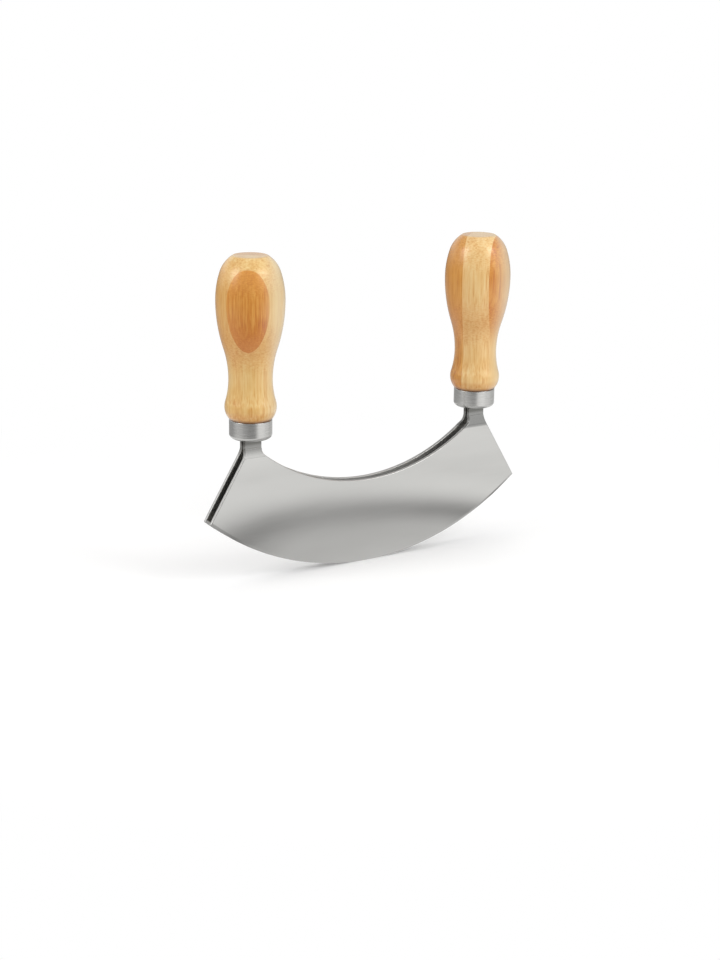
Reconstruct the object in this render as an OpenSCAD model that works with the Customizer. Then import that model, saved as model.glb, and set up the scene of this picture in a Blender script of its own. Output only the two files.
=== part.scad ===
// Double-bladed mezzaluna. Lengths are in millimetres.
// +X runs along the blades, +Y from the front blade to the rear blade, +Z up.
// The origin is midway between the blades, level with the lowest point of the cutting edges.

/* [Blades] */
// Radius of the cutting edges
edge_radius = 137.6; // [122:0.2:165]
// Straight distance from tip to tip of a blade
blade_span = 176; // [160:0.5:196]
// Width of a blade at its middle
blade_depth = 42; // [36:0.2:48]
// Radius of the hollow back of a blade
back_radius = 95; // [88:0.5:115]
// Thickness of the steel sheet
sheet = 1.8; // [1.2:0.1:2.2]
// Clear gap between the two blades
blade_gap = 4.1; // [3:0.1:7]
// Height of the bevel ground along each side of a cutting edge
bevel_height = 1.4; // [0.6:0.1:3]
// Thickness left at the very edge
edge_flat = 0.3; // [0.1:0.05:0.6]

/* [Necks] */
// Width of the necks that rise from the ends of a blade
neck_width = 9.2; // [8:0.1:11]
// Clear gap between the front and rear necks inside a handle
neck_gap = 1.2; // [0.8:0.1:3]
// Height of the sloping stretch that brings a neck inwards
joggle_height = 4.6; // [3.5:0.1:6]
// Drop from the horn of the blade's back to the neck's lower bend
bend_drop = 1.8; // [0.5:0.1:3]
// Inside radius of the bends
bend_radius = 1.2; // [0.6:0.1:2]
// Height from the lower bend to the underside of the ferrule
neck_rise = 9.4; // [8:0.1:14]
// Length of a tang inside its handle, from the underside of the ferrule
tang_length = 40; // [25:1:50]
// Fillet between the blade's back and a neck
inner_fillet = 3.5; // [1:0.1:6]
// Blend between the end cut of the blade and a neck
outer_blend = 10; // [4:0.5:14]

/* [Ferrules] */
// Outside diameter of a ferrule
ferrule_d = 20.4; // [19:0.1:23]
// Height of a ferrule
ferrule_height = 9.2; // [7:0.1:14]
// Wall of a ferrule
ferrule_wall = 0.8; // [0.5:0.1:1.2]
// Outside radius of a ferrule's lower edge
ferrule_round = 2; // [1.3:0.1:3]
// Clearance round the necks in the slot of a ferrule
slot_clearance = 0.25; // [0.1:0.05:0.6]
// Clearance between a ferrule and the spigot of its handle
spigot_clearance = 0.05; // [0.02:0.01:0.2]

/* [Handles] */
// Distance along the blades from a tip to the axis of the nearer handle
tip_reach = 23.6; // [20:0.2:28]
// Length of the wood that shows above a ferrule
handle_length = 77.4; // [73:0.1:95]
// Largest diameter of a handle
belly_d = 32.5; // [31.5:0.1:37]
// Distance of the largest diameter below the top
belly_drop = 20.9; // [17:0.1:24]
// Radius of the long curve below the belly
belly_curve = 74; // [55:1:85]
// Radius of the curve above the belly
crown_curve = 43; // [38:1:60]
// Radius of the shoulder round the top
shoulder_curve = 14; // [7:0.5:15]
// Diameter of the flat top
top_flat_d = 16.2; // [12:0.1:18]
// Diameter of the waist
waist_d = 20.8; // [19:0.1:22.5]
// Height of the waist above the ferrule
waist_height = 19.2; // [16:0.1:22]
// Diameter of the bead above the ferrule
bead_d = 24.6; // [23.5:0.1:28]
// Height of the bead's widest point above the ferrule
bead_height = 6; // [4.5:0.1:7]
// Radius of the bead
bead_curve = 9; // [8:0.1:11]

/* [Bores and resin] */
// Diameter of the bore for the tangs
bore_d = 11.8; // [11.2:0.1:13]
// Room left in a bore above the tangs
bore_spare = 3; // [1:0.5:6]
// Clearance of the resin plug in its bore and round the tangs
resin_clearance = 0.05; // [0.02:0.01:0.2]

/* [Lamination] */
// Depth at the belly of the caps that turning left of the left handle's outer bamboo plies
cap_depth = 3.4; // [2:0.05:4]
// Thickness of the right handle's middle ply
middle_ply = 12.9; // [11:0.1:14]
// Distance from the right handle's axis to the front of its middle ply
front_reach = 8.7; // [7.5:0.1:9]
// Direction that the plies of the left handle face, in degrees from +X
left_turn = -124; // [-180:1:180]
// Direction that the plies of the right handle face, in degrees from +X
right_turn = -48; // [-180:1:180]

/* [Hidden] */

LEFT = -1;
RIGHT = 1;
$fn = 96;
edge_fn = 360;   // facets of the large circles of a blade
past = 1;        // how far a cutting solid reaches past what it cuts

// Blade outline
half_span = blade_span / 2;
tip_z = edge_radius - sqrt(edge_radius * edge_radius - half_span * half_span);
back_z = blade_depth + back_radius;                  // centre of the hollow back
handle_x = half_span - tip_reach;
neck_in = handle_x - neck_width / 2;
neck_out = handle_x + neck_width / 2;
horn_z = back_z - sqrt(back_radius * back_radius - neck_in * neck_in);
end_angle = atan2(half_span - neck_out, horn_z - tip_z);   // end cut, from the vertical

// Heights
bend_z = horn_z - bend_drop;
ferrule_z = bend_z + neck_rise;
tang_z = ferrule_z + tang_length;
wood_z = ferrule_z + ferrule_height;
top_z = wood_z + handle_length;
spigot_z = ferrule_z + ferrule_wall + spigot_clearance;
bore_z = tang_z + bore_spare;

// Places of the sheets along Y, rear blade
sheet_y = blade_gap / 2 + sheet / 2;
tang_y = neck_gap / 2 + sheet / 2;
joggle = sheet_y - tang_y;
joggle_angle = atan2(joggle, joggle_height);
bend_mid = bend_radius + sheet / 2;                  // bend radius at the middle of the sheet
bend_reach = bend_mid * tan(abs(joggle_angle) / 2);
bend_steps = 5;

// Radii and curve centres of a handle, as [radius, height]
waist_r = waist_d / 2;
belly_r = belly_d / 2;
bead_r = bead_d / 2;
cap_plane = belly_r - cap_depth; // distance from the left handle's axis to its outer glue lines
spigot_r = ferrule_d / 2 - ferrule_wall - spigot_clearance;
bead_c = [bead_r - bead_curve, wood_z + bead_height];
waist_z = wood_z + waist_height;
belly_z = top_z - belly_drop;
belly_c = [belly_r - belly_curve, belly_z];
crown_c = [belly_r - crown_curve, belly_z];
top_rim = [top_flat_d / 2, top_z];
low_waist_c = waist_centre(bead_c, bead_curve);
high_waist_c = waist_centre(belly_c, belly_curve);
shoulder_c = meet(top_rim, shoulder_curve, crown_c, crown_curve - shoulder_curve);

// Centre of the waist's arc: it touches the waist radius and, from outside, the circle at c of radius r
function waist_centre(c, r) =
    let (k = waist_r - c[0], dz = c[1] - waist_z)
    [waist_r + (k * k + dz * dz - r * r) / (2 * (r - k)), waist_z];

// Where two circles meet, on the right of the way from b to a
function meet(a, ra, b, rb) =
    let (d = a - b, s = norm(d), along = (s * s + rb * rb - ra * ra) / (2 * s),
         across = sqrt(rb * rb - along * along), u = d / s)
    b + along * u + across * [u[1], -u[0]];

function bearing(from, to) = atan2(to[1] - from[1], to[0] - from[0]);

function arc(c, r, a0, a1, steps) =
    [for (i = [0:steps]) let (a = a0 + (a1 - a0) * i / steps) c + r * [cos(a), sin(a)]];

// Profile of a handle from the spigot to the top: arcs that run into each other without a corner
function handle_profile() = concat(
    [[0, spigot_z], [spigot_r, spigot_z], [spigot_r, wood_z]],
    arc(bead_c, bead_curve, -asin(bead_height / bead_curve), bearing(bead_c, low_waist_c), 20),
    arc(low_waist_c, low_waist_c[0] - waist_r, 180 + bearing(bead_c, low_waist_c), 180, 8),
    arc(high_waist_c, high_waist_c[0] - waist_r, 180, bearing(high_waist_c, belly_c), 9),
    arc(belly_c, belly_curve, bearing(high_waist_c, belly_c) - 180, 0, 10),
    arc(crown_c, crown_curve, 0, bearing(crown_c, shoulder_c), 8),
    arc(shoulder_c, shoulder_curve, bearing(crown_c, shoulder_c), bearing(shoulder_c, top_rim), 16),
    [[0, top_z]]);

// Round between the hollow back and the inner side of a neck: its centre, and where it touches the back
fillet_x = neck_in - inner_fillet;
fillet_c = [fillet_x, back_z - sqrt(pow(back_radius - inner_fillet, 2) - fillet_x * fillet_x)];
back_touch = [0, back_z] + (fillet_c - [0, back_z]) * back_radius / (back_radius - inner_fillet);

// Round between the end cut and the outer side of a neck: its reach from the corner, and its centre
blend_reach = outer_blend * tan(end_angle / 2);
blend_c = [neck_out + outer_blend, horn_z + blend_reach];

// Straight-sided outline of the right end of a blade, from the tip round to the inner side of the neck
end_points = [
    [half_span, -past], [half_span, tip_z],
    [neck_out + blend_reach * sin(end_angle), horn_z - blend_reach * cos(end_angle)],
    [neck_out, blend_c[1]], [neck_out, tang_z], [neck_in, tang_z], [neck_in, fillet_c[1]]];

// Flat outline of a blade with its necks and tangs
module blade_outline()
{
    difference() {
        intersection() {
            polygon(concat(end_points,
                           [for (i = [len(end_points) - 1:-1:0]) [-end_points[i][0], end_points[i][1]]]));
            translate([0, edge_radius]) circle(edge_radius, $fn = edge_fn);
        }
        intersection() {
            translate([0, back_z]) circle(back_radius, $fn = edge_fn);
            polygon([[0, back_z], 2 * back_touch - [0, back_z],
                     [-2 * back_touch[0], 2 * back_touch[1] - back_z]]);
        }
        for (side = [LEFT, RIGHT]) {
            translate([side * fillet_c[0], fillet_c[1]]) circle(inner_fillet);
            translate([side * blend_c[0], blend_c[1]]) circle(outer_blend);
        }
    }
}

// Section of the rear sheet across X: flat blade, joggle inwards, straight tang
module sheet_section()
{
    function out(a) = [cos(a), sin(a)];
    function along(a) = [-sin(a), cos(a)];
    low = [sheet_y, bend_z] - bend_reach * along(0) - bend_mid * out(0);
    high = [tang_y, bend_z + joggle_height] - bend_reach * along(joggle_angle)
           + bend_mid * out(joggle_angle);
    turns = [for (i = [0:bend_steps]) joggle_angle * i / bend_steps];
    // Each entry is a point on the middle of the sheet and the direction the sheet faces there
    path = concat([[[sheet_y, -past], out(0)]],
                  [for (a = turns) [low + bend_mid * out(a), out(a)]],
                  [for (i = [bend_steps:-1:0]) [high - bend_mid * out(turns[i]), out(turns[i])]],
                  [[[tang_y, tang_z + past], out(0)]]);
    last = len(path) - 1;
    polygon(concat([for (p = path) p[0] + sheet / 2 * p[1]],
                   [for (i = [last:-1:0]) path[i][0] - sheet / 2 * path[i][1]]));
}

// What grinding takes off one side of the cutting edge, for a face at y = 0 with the steel above it
module bevel_grind()
{
    depth = (sheet - edge_flat) / 2;
    slope = bevel_height / depth;
    translate([0, 0, edge_radius]) rotate([-90, 0, 0])
        rotate_extrude($fn = edge_fn)
            polygon([[edge_radius - bevel_height - past * slope, -past], [edge_radius + past, -past],
                     [edge_radius + past, depth], [edge_radius, depth]]);
}

module blade()
{
    difference() {
        intersection() {
            translate([0, blade_gap + 2 * sheet, 0]) rotate([90, 0, 0])
                linear_extrude(blade_gap + 2 * sheet) blade_outline();
            rotate([90, 0, 90])
                linear_extrude(blade_span + 2 * past, center = true) sheet_section();
        }
        translate([0, sheet_y - sheet / 2, 0]) bevel_grind();
        translate([0, sheet_y + sheet / 2, 0]) mirror([0, 1, 0]) bevel_grind();
    }
}

module front_blade() { color("silver") mirror([0, 1, 0]) blade(); }
module rear_blade() { color("silver") blade(); }

// Drawn cup with a slot in its floor for the two necks
module ferrule(side)
{
    r = ferrule_d / 2;
    inner_round = ferrule_round - ferrule_wall;
    slot = [neck_width + 2 * slot_clearance, neck_gap + 2 * sheet + 2 * slot_clearance];
    color("lightgray")
    translate([side * handle_x, 0, ferrule_z])
    difference() {
        rotate_extrude()
            polygon(concat(
                [[0, 0]],
                arc([r - ferrule_round, ferrule_round], ferrule_round, -90, 0, 10),
                [[r, ferrule_height], [r - ferrule_wall, ferrule_height]],
                arc([r - ferrule_round, ferrule_round], inner_round, 0, -90, 8),
                [[0, ferrule_wall]]));
        translate([-slot[0] / 2, -slot[1] / 2, -past])
            cube([slot[0], slot[1], ferrule_wall + 2 * past]);
    }
}

module left_ferrule() { ferrule(LEFT); }
module right_ferrule() { ferrule(RIGHT); }

// Cast resin that fills a bore and locks both tangs
module resin_plug(side)
{
    color("wheat")
    translate([side * handle_x, 0, 0])
    difference() {
        translate([0, 0, spigot_z])
            cylinder(r = bore_d / 2 - resin_clearance, h = bore_z - resin_clearance - spigot_z);
        for (y = [-tang_y, tang_y])
            translate([-neck_width / 2 - resin_clearance, y - sheet / 2 - resin_clearance, spigot_z - past])
                cube([neck_width + 2 * resin_clearance, sheet + 2 * resin_clearance,
                      tang_z - spigot_z + past + resin_clearance]);
    }
}

module left_resin_plug() { resin_plug(LEFT); }
module right_resin_plug() { resin_plug(RIGHT); }

// Section of a ply between two distances from the axis, along the whole handle or from a height up
function slab(from, to, z = spigot_z - past) = [[from, z], [to, z], [to, top_z + past], [from, top_z + past]];

// Section of a ply next to the left handle's middle glue line, on the side that way points to. Below the
// waist it keeps the whole width, because the turned wood is too slim there to reach the ply outside it.
function inner_slab(way) = [
    [0, spigot_z - past], [way * belly_d, spigot_z - past], [way * belly_d, waist_z],
    [way * cap_plane, waist_z], [way * cap_plane, top_z + past], [0, top_z + past]];

// Turned wood of a handle at the origin of X and Y, cut to a slab between glue lines
module turned_ply(section, turn)
{
    difference() {
        intersection() {
            rotate_extrude() polygon(handle_profile());
            rotate([90, 0, turn]) linear_extrude(2 * belly_d, center = true) polygon(section);
        }
        translate([0, 0, spigot_z - past]) cylinder(d = bore_d, h = bore_z - spigot_z + past);
    }
}

module left_ply(section) { translate([-handle_x, 0, 0]) turned_ply(section, left_turn); }
module right_ply(section) { translate([handle_x, 0, 0]) turned_ply(section, right_turn); }

module left_handle_front_cap() { color("peru") left_ply(slab(cap_plane, belly_d, waist_z)); }
module left_handle_front_ply() { color("burlywood") left_ply(inner_slab(1)); }
module left_handle_rear_ply() { color("sandybrown") left_ply(inner_slab(-1)); }
module left_handle_rear_cap() { color("peru") left_ply(slab(-belly_d, -cap_plane, waist_z)); }
module right_handle_front_ply() { color("peru") right_ply(slab(front_reach, belly_d)); }
module right_handle_middle_ply() { color("burlywood") right_ply(slab(front_reach - middle_ply, front_reach)); }
module right_handle_rear_ply() { color("sandybrown") right_ply(slab(-belly_d, front_reach - middle_ply)); }

front_blade();
rear_blade();
left_ferrule();
right_ferrule();
left_resin_plug();
right_resin_plug();
left_handle_front_cap();
left_handle_front_ply();
left_handle_rear_ply();
left_handle_rear_cap();
right_handle_front_ply();
right_handle_middle_ply();
right_handle_rear_ply();
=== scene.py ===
"""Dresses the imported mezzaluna: finer blades, ferrules and handles, materials, stage, light and camera.

Sizes of the part are in millimetres, as in its source, and become metres when a mesh is made. Sizes of the
stage and the lamps are in metres, apart from the ring on the floor.
"""
import math

import bmesh
import bpy
import numpy as np
from mathutils import Matrix, Vector


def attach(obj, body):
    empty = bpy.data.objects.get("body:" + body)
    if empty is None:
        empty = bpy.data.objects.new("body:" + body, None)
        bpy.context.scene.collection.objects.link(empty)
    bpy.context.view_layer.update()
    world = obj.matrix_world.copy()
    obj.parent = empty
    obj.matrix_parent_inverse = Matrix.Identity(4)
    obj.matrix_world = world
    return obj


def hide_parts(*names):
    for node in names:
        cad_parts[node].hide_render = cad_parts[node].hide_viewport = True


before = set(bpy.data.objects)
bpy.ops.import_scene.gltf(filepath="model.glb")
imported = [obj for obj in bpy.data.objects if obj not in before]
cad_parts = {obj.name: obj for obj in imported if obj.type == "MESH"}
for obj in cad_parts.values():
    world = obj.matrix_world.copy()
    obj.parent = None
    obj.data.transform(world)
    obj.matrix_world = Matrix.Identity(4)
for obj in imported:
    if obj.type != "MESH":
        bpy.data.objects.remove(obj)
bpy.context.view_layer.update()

MM = 0.001
SIDES = {"left": -1, "right": 1}

# Sizes of the blades in the part's source
EDGE_RADIUS, HALF_SPAN, BLADE_DEPTH, BACK_RADIUS = 137.6, 88.0, 42.0, 95.0
SHEET, BLADE_GAP, BEVEL_HEIGHT, EDGE_FLAT = 1.8, 4.1, 1.4, 0.3
NECK_WIDTH, NECK_GAP, JOGGLE_HEIGHT, BEND_DROP, BEND_RADIUS = 9.2, 1.2, 4.6, 1.8, 1.2
NECK_RISE, TANG_LENGTH, INNER_FILLET, OUTER_BLEND = 9.4, 40.0, 3.5, 10.0

# Sizes of the ferrules in the part's source
FERRULE_R, FERRULE_HEIGHT, FERRULE_WALL, FERRULE_ROUND = 10.2, 9.2, 0.8, 2.0
SLOT_CLEARANCE, SPIGOT_CLEARANCE = 0.25, 0.05

# Sizes of the handles and their plies in the part's source
TIP_REACH, HANDLE_LENGTH = 23.6, 77.4
BELLY_R, BELLY_DROP, BELLY_CURVE = 16.25, 20.9, 74.0
CROWN_CURVE, SHOULDER_CURVE, TOP_R = 43.0, 14.0, 8.1
WAIST_R, WAIST_HEIGHT, BEAD_R, BEAD_HEIGHT, BEAD_CURVE = 10.4, 19.2, 12.3, 6.0, 9.0
BORE_R, BORE_SPARE = 5.9, 3.0
CAP_DEPTH, MIDDLE_PLY, FRONT_REACH = 3.4, 12.9, 8.7
PLY_TURN = {"left": math.radians(-124), "right": math.radians(-48)}

# Roundings too small for the source
ARRIS = 0.4          # rolled arrises of the sheet
RIM = 0.4            # upper rim of a ferrule and lower rim of the wood
SLOT_CORNER = 0.4
LIP_START, LIP_END = -90, -20          # turns of the wood's rim, in degrees
LIP_SHARE = 2.5                        # what that rim takes of the bead, in degrees

# Places that follow from the sizes
TIP_Z = EDGE_RADIUS - math.sqrt(EDGE_RADIUS**2 - HALF_SPAN**2)
BACK_Z = BLADE_DEPTH + BACK_RADIUS
HANDLE_X = HALF_SPAN - TIP_REACH
NECK_IN, NECK_OUT = HANDLE_X - NECK_WIDTH / 2, HANDLE_X + NECK_WIDTH / 2
HORN_Z = BACK_Z - math.sqrt(BACK_RADIUS**2 - NECK_IN**2)
BEND_Z = HORN_Z - BEND_DROP
FERRULE_Z = BEND_Z + NECK_RISE
TANG_Z = FERRULE_Z + TANG_LENGTH
WOOD_Z = FERRULE_Z + FERRULE_HEIGHT
TOP_Z = WOOD_Z + HANDLE_LENGTH
WAIST_Z = WOOD_Z + WAIST_HEIGHT
SPIGOT_Z = FERRULE_Z + FERRULE_WALL + SPIGOT_CLEARANCE
SPIGOT_R = FERRULE_R - FERRULE_WALL - SPIGOT_CLEARANCE
BORE_Z = TANG_Z + BORE_SPARE
CAP_PLANE = BELLY_R - CAP_DEPTH
REAR_REACH = FRONT_REACH - MIDDLE_PLY
SLOT_RING = 7.6          # radius of the flat middle of a ferrule's floor, which holds the slot

# Steps of the curves, and segments of what is turned
EDGE_STEPS, BACK_STEPS, BLEND_STEPS, BEND_STEPS, ARRIS_STEPS = 110, 48, 10, 6, 5
END_STEPS, TANG_STEPS, TANG_END_STEPS = 12, 8, 4
RIM_STEPS, BEAD_STEPS, LOW_STEPS, HIGH_STEPS, BELLY_STEPS = 5, 26, 14, 18, 20
CROWN_STEPS, SHOULDER_STEPS, TOP_STEPS = 14, 26, 4
CUP_STEPS, HOLLOW_STEPS, CORNER_STEPS = 14, 8, 4
HANDLE_SEGMENTS, FERRULE_SEGMENTS, FLOOR_SEGMENTS = 144, 160, 128

# Lengths that count as nothing: for a size, for a cut, for picking points and for merging them
NO_LENGTH, CUT_SLACK, PICK_SLACK, MERGE_SLACK = 1e-6, 1e-5, 1e-4, 1e-3

# Sharpest angles in degrees that are shaded smooth, and the weight of large faces in the shading
BLADE_CREASE, FERRULE_CREASE, FACE_WEIGHT = 28, 30, 90


# Small helpers
def arc(centre, radius, start, end, steps):
    """Points on a circle from start to end, in degrees."""
    turns = [math.radians(start + (end - start) * i / steps) for i in range(steps + 1)]
    return [(centre[0] + radius * math.cos(a), centre[1] + radius * math.sin(a)) for a in turns]


def bearing(a, b):
    """Direction from a to b, in degrees."""
    return math.degrees(math.atan2(b[1] - a[1], b[0] - a[0]))


def line(a, b, steps):
    """Points from a up to, but not with, b."""
    return [(a[0] + (b[0] - a[0]) * i / steps, a[1] + (b[1] - a[1]) * i / steps) for i in range(steps)]


def without_repeats(points):
    """The points without those that repeat the one before."""
    kept = [points[0]]
    for p in points[1:]:
        if math.dist(p, kept[-1]) > PICK_SLACK:
            kept.append(p)
    return kept


def handle_x(side):
    """Where the axis of a handle stands along the blades."""
    return SIDES[side] * HANDLE_X


def whole(bm):
    """All that a cut through bm has to be given."""
    return bm.verts[:] + bm.edges[:] + bm.faces[:]


def add_object(name, data):
    """Adds an object to the scene."""
    obj = bpy.data.objects.new(name, data)
    bpy.context.scene.collection.objects.link(obj)
    return obj


def add_mesh(name, bm, material):
    """Adds an object made of bm, which it frees."""
    mesh = bpy.data.meshes.new(name)
    bm.to_mesh(mesh)
    bm.free()
    mesh.materials.append(material)
    return add_object(name, mesh)


def new_piece(replaced, bm, material):
    """Makes a piece from bm, in millimetres, in place of the CAD node called replaced."""
    bmesh.ops.recalc_face_normals(bm, faces=bm.faces)
    for v in bm.verts:
        v.co *= MM
    obj = add_mesh(replaced + "_dressed", bm, material)
    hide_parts(replaced)
    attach(obj, "root")
    return obj


def weigh_normals(obj, angle):
    """Smooth shading that leaves flats flat, with creases sharper than angle kept."""
    mesh = obj.data
    mesh.set_sharp_from_angle(angle=math.radians(angle))
    mesh.polygons.foreach_set("use_smooth", [True] * len(mesh.polygons))
    weigh = obj.modifiers.new("flat faces", "WEIGHTED_NORMAL")
    weigh.keep_sharp = True
    weigh.weight = FACE_WEIGHT


# Node helpers
def add_node(tree, kind, values=None, **settings):
    """Adds a node. values are its inputs by name or number: numbers, colours or outputs of other nodes."""
    node = tree.nodes.new(kind)
    for key, value in settings.items():
        setattr(node, key, value)
    for key, value in (values or {}).items():
        if isinstance(value, bpy.types.NodeSocket):
            tree.links.new(value, node.inputs[key])
        else:
            node.inputs[key].default_value = value
    return node


def maths(tree, operation, a, b=0.0, c=0.0):
    """One step of arithmetic."""
    return add_node(tree, "ShaderNodeMath", {0: a, 1: b, 2: c}, operation=operation).outputs[0]


def vector_maths(tree, operation, a, b, output="Value"):
    """One step of arithmetic with vectors."""
    return add_node(tree, "ShaderNodeVectorMath", {0: a, 1: b}, operation=operation).outputs[output]


def span(tree, value, low, high, to_low=0.0, to_high=1.0, kind="SMOOTHSTEP"):
    """value taken from low..high to to_low..to_high."""
    limits = {"Value": value, "From Min": low, "From Max": high, "To Min": to_low, "To Max": to_high}
    return add_node(tree, "ShaderNodeMapRange", limits, interpolation_type=kind).outputs[0]


def spread(tree, value, to_low=0.0, to_high=1.0):
    """Noise, nearly all of which lies from 0.3 to 0.7, taken to to_low..to_high."""
    return span(tree, value, 0.3, 0.7, to_low, to_high, "LINEAR")


def mix(tree, factor, a, b, blend="MIX"):
    """Mixes two colours, which are inputs 6 and 7 of the node and come out at its output 2."""
    values = {0: factor, 6: a, 7: b}
    return add_node(tree, "ShaderNodeMix", values, data_type="RGBA", blend_type=blend).outputs[2]


def noise(tree, vector, detail=2.0, roughness=0.5):
    """Noise whose features are about as large as one unit of vector."""
    values = {"Vector": vector, "Scale": 1.0, "Detail": detail, "Roughness": roughness}
    return add_node(tree, "ShaderNodeTexNoise", values).outputs[0]


def coordinates(tree, kind="Object"):
    """Texture coordinates."""
    return add_node(tree, "ShaderNodeTexCoord").outputs[kind]


def parts_of(tree, vector):
    """The X, Y and Z of a vector."""
    return add_node(tree, "ShaderNodeSeparateXYZ", {0: vector}).outputs


def stretched(tree, sizes, centre=(0, 0, 0), turn=0.0):
    """Object coordinates in a frame of their own, divided by sizes in millimetres."""
    values = {"Vector": coordinates(tree), "Location": [c * MM for c in centre], "Rotation": (0, 0, turn)}
    own = add_node(tree, "ShaderNodeMapping", values, vector_type="TEXTURE").outputs[0]
    return vector_maths(tree, "MULTIPLY", own, [1 / (s * MM) for s in sizes], "Vector")


def bump(tree, height, strength, depth):
    """Normals of a surface that height makes uneven. depth is in millimetres."""
    values = {"Height": height, "Strength": strength, "Distance": depth * MM}
    return add_node(tree, "ShaderNodeBump", values).outputs[0]


def colour(r, g, b):
    """A colour given as 0 to 255 on screen, as Blender's linear values."""
    shares = [c / 255 for c in (r, g, b)]
    return tuple(s / 12.92 if s <= 0.04045 else ((s + 0.055) / 1.055) ** 2.4 for s in shares) + (1.0,)


def grey(level):
    """A neutral grey in linear values."""
    return (level, level, level, 1)


def steel_grey(level):
    """A grey with slightly less blue, in linear values."""
    return (level, level, level - 0.01, 1)


def empty_material(name):
    """A material without nodes, and its tree."""
    material = bpy.data.materials.new(name)
    material.use_nodes = True
    material.node_tree.nodes.clear()
    return material, material.node_tree


def new_material(name):
    """A material, its tree and its one shader."""
    material, tree = empty_material(name)
    shader = add_node(tree, "ShaderNodeBsdfPrincipled")
    add_node(tree, "ShaderNodeOutputMaterial", {0: shader.outputs[0]})
    return material, tree, shader


def feed(tree, shader, inputs):
    """Links outputs to the inputs of a shader, by name."""
    for name, output in inputs.items():
        tree.links.new(output, shader.inputs[name])


# Tones of the steel and the resin
FACE_TONES = (0.625, 0.62, 0.6, 1), (0.69, 0.685, 0.665, 1)
FERRULE_TONES = (0.54, 0.535, 0.515, 1), (0.67, 0.665, 0.65, 1)
RESIN_TONES = (0.35, 0.24, 0.12, 1), (0.48, 0.35, 0.2, 1)
# Painted shade on the necks: on the slopes, on the straight parts, and a painted shadow below the ferrule
SLOPE_SHADES = steel_grey(0.235), steel_grey(0.345)          # on the left and on the right
NECK_SHADE, UNDER_FERRULE_SHADOW = steel_grey(0.34), steel_grey(0.19)
CUT_SHADE = grey(0.93)

# Sizes along X, Y and Z of the brushing, and of the clouds in it and in the resin
BLADE_BRUSHING, BLADE_CLOUDS = (16, 3, 0.3), (50, 10, 14)
FERRULE_BRUSHING, RESIN_CLOUDS = (5, 5, 0.35), (2, 2, 2)

# Heights at which the slope of a neck turns into its straight part, and that into the painted shadow below
# the ferrule
SLOPE_TO_NECK = BEND_Z + 4.2, BEND_Z + 5.0
NECK_TO_FERRULE = FERRULE_Z - 4.0, FERRULE_Z - 2.2

# Heights at which the painted shade of the necks starts and is full, each on the left and on the right
NECK_START, NECK_FULL = (BEND_Z, BEND_Z - 1.6), (FERRULE_Z - 3.6, BEND_Z - 0.4)
LEFT_TO_RIGHT = -1.0, 1.0

# Where the steel is dull, as from, to and the share at each: by how far a face looks along Y, on the inner
# faces, near the hollow back and by the place along X
CUT_EDGES = 0.45, 0.8, 1.0, 0.0
INNER_FACES = BLADE_GAP / 2 + 0.1, BLADE_GAP / 2 + 0.6, 1.0, 0.0
NEAR_BACK = BACK_RADIUS + 2, BACK_RADIUS + 8, 1.0, 0.15
DULL_ALONG = 24, 54, 1.0, 0.4

# Roughness that the brushing gives over its range of noise, and the clouds, and what cut edges and the inside
# add to roughness and metal
BRUSHED = 0.25, 0.75
BLADE_ROUGH, CLOUD_ROUGH, FERRULE_ROUGH = (0.15, 0.18), (-0.01, 0.01), (0.22, 0.28)
CUT_ROUGH, INSIDE_ROUGH, INSIDE_METALLIC = 0.22, 0.3, -0.22
RESIN_ROUGH = 0.3

# Light, middle and dark tone of each kind of ply, and where they lie on the scale of the grain
HONEY = colour(242, 211, 146), colour(233, 190, 116), colour(212, 152, 70)
BRIGHT_HONEY = colour(246, 216, 157), colour(238, 197, 130), colour(217, 158, 82)
AMBER = colour(230, 172, 88), colour(213, 149, 62), colour(190, 113, 34)
RED = colour(232, 170, 78), colour(211, 135, 36), colour(188, 98, 14)
DARK_STOP, MIDDLE_STOP, LIGHT_STOP = 0.08, 0.5, 0.92

# Tones that the wood takes on in places. In order: painted shade on the side away from the light, painted
# light on the lit side, painted shade with warm bounce light where it faces down; a paler top disc, painted
# shade at the lower rim; painted shade at the cap's foot, and the cap's head
SHADED_SIDE_TONE, PAINTED_LIGHT_TONE, UNDERSIDE_SHADE = colour(216, 147, 46), colour(238, 228, 198), colour(212, 128, 14)
TOP_DISC_TONE, RIM_SHADE = colour(214, 184, 140), colour(136, 82, 32)
CAP_FOOT_SHADE, CAP_HEAD = colour(200, 110, 10), colour(234, 168, 70)

# Those places, as from, to and the share at each. Sideways is measured along the direction of the lit side,
# in radii of the belly
LIT_SIDE = (0.92, -0.39, 0)
SHADED_SIDEWAYS, SHADED_SIDE_HEIGHTS = (-0.95, -0.4, 0.45, 0.0), (WAIST_Z + 6, WAIST_Z + 20)
LIT_SIDEWAYS = 0.2, 0.85, 0.0, 0.6
FACING_DOWN = -0.3, -0.05, 0.22, 0.0
TOP_DISC_HEIGHTS = TOP_Z - 0.4, TOP_Z - 0.15, 0.0, 0.45
RIM_HEIGHTS = WOOD_Z + 0.3, WOOD_Z + 2.0, 0.75, 0.0

# Marks in the bamboo: sizes, the last along the fibres, then detail and roughness of the noise, weight in the
# tone, and whether they show where the surface is upright, where it is oblique to the fibres or everywhere
MARKS = (
    ((0.4, 0.4, 9), 2.0, 0.6, 0.14, "upright"),        # fibres
    ((0.95, 0.95, 70), 1.0, 0.5, 0.22, "upright"),     # stripes
    ((5, 5, 140), 2.0, 0.5, 0.16, "everywhere"),       # bands
    ((6, 6, 9), 3.0, 0.55, 0.09, "everywhere"),        # clouds
    ((1.3, 1.3, 0.55), 2.0, 0.6, 0.28, "oblique"),     # flecks
)
BUNDLES, BUNDLE_JITTER, BUNDLE_WEIGHT = (0.9, 0.9, 30), 0.85, 0.15
BUNDLE_EDGE = 0.1, 0.6, -1, 1

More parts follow.
